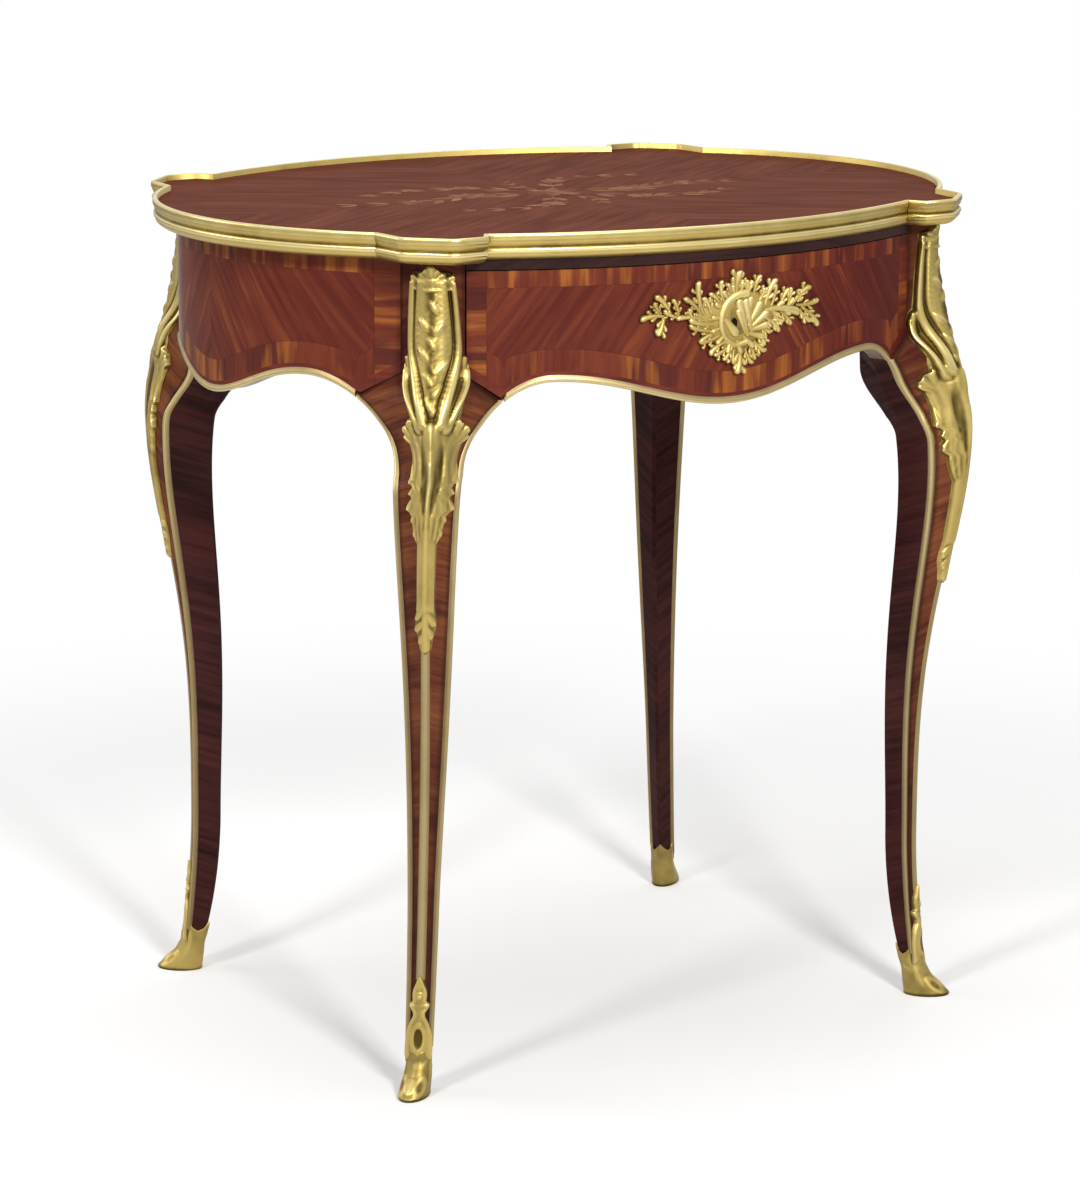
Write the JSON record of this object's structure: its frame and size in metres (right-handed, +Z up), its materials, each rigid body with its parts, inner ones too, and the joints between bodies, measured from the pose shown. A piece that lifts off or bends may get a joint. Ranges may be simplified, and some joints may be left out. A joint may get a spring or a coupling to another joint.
{
  "type": "salon table",
  "caption": "Oval salon table on cabriole legs, with a floral marquetry top, a serpentine veneered frieze holding a lockable drawer, and gilt bronze rim and mounts.",
  "frame": {"origin": "on the floor, under the middle of the top", "axes": "+Z up, X along the length of the top, the drawer opens towards -Y"},
  "size_m": [0.752, 0.597, 0.757],
  "materials": {
    "gilt_bronze": "mercury-gilt, satin with burnished edges",
    "top_marquetry": "French polished",
    "frieze_veneer": "French polished",
    "leg_veneer": "French polished",
    "oak_core": "bare",
    "drawer_oak": "waxed",
    "lock_steel": "filed",
    "lock_brass": "filed",
    "screw_steel": "oiled"
  },
  "bodies": {
    "table": {"apron_back": "frieze_veneer", "apron_fillet_back": "gilt_bronze", "apron_fillet_left": "gilt_bronze", "apron_fillet_right": "gilt_bronze", "apron_left": "frieze_veneer", "apron_right": "frieze_veneer", "arris_fillet_back_left": "gilt_bronze", "arris_fillet_back_right": "gilt_bronze", "arris_fillet_front_left": "gilt_bronze", "arris_fillet_front_right": "gilt_bronze", "chute_back_left": "gilt_bronze", "chute_back_right": "gilt_bronze", "chute_front_left": "gilt_bronze", "chute_front_right": "gilt_bronze", "drawer_kicker_left": "drawer_oak", "drawer_kicker_right": "drawer_oak", "drawer_runner_left": "drawer_oak", "drawer_runner_right": "drawer_oak", "edge_fillet_end_back_left": "gilt_bronze", "edge_fillet_end_back_right": "gilt_bronze", "edge_fillet_end_front_left": "gilt_bronze", "edge_fillet_end_front_right": "gilt_bronze", "edge_fillet_long_back_left": "gilt_bronze", "edge_fillet_long_back_right": "gilt_bronze", "edge_fillet_long_front_left": "gilt_bronze", "edge_fillet_long_front_right": "gilt_bronze", "front_top_rail": "frieze_veneer", "leg_back_left": "leg_veneer", "leg_back_right": "leg_veneer", "leg_front_left": "leg_veneer", "leg_front_right": "leg_veneer", "rim_back": "gilt_bronze", "rim_ear_back_left": "gilt_bronze", "rim_ear_back_right": "gilt_bronze", "rim_ear_front_left": "gilt_bronze", "rim_ear_front_right": "gilt_bronze", "rim_front": "gilt_bronze", "rim_left": "gilt_bronze", "rim_right": "gilt_bronze", "sabot_back_left": "gilt_bronze", "sabot_back_right": "gilt_bronze", "sabot_front_left": "gilt_bronze", "sabot_front_right": "gilt_bronze", "strike_plate": "lock_brass", "top_panel": "oak_core", "top_screw_back_left": "screw_steel", "top_screw_back_right": "screw_steel", "top_screw_front_left": "screw_steel", "top_screw_front_right": "screw_steel", "top_veneer": "top_marquetry"},
    "drawer": {"drawer_front": "frieze_veneer", "drawer_fillet": "gilt_bronze", "drawer_side_left": "drawer_oak", "drawer_side_right": "drawer_oak", "drawer_back": "drawer_oak", "drawer_bottom": "drawer_oak", "lock_case": "lock_steel", "escutcheon": "gilt_bronze"},
    "lock_bolt": {"lock_bolt": "lock_brass"}
  },
  "joints": [
    {"name": "drawer_slide", "type": "slide", "parent": "table", "child": "drawer", "axis": [0, -1, 0], "range_m": [0, 0.28]},
    {"name": "lock_bolt_throw", "type": "slide", "parent": "drawer", "child": "lock_bolt", "axis": [0, 0, 1], "range_m": [0, 0.006]}
  ]
}
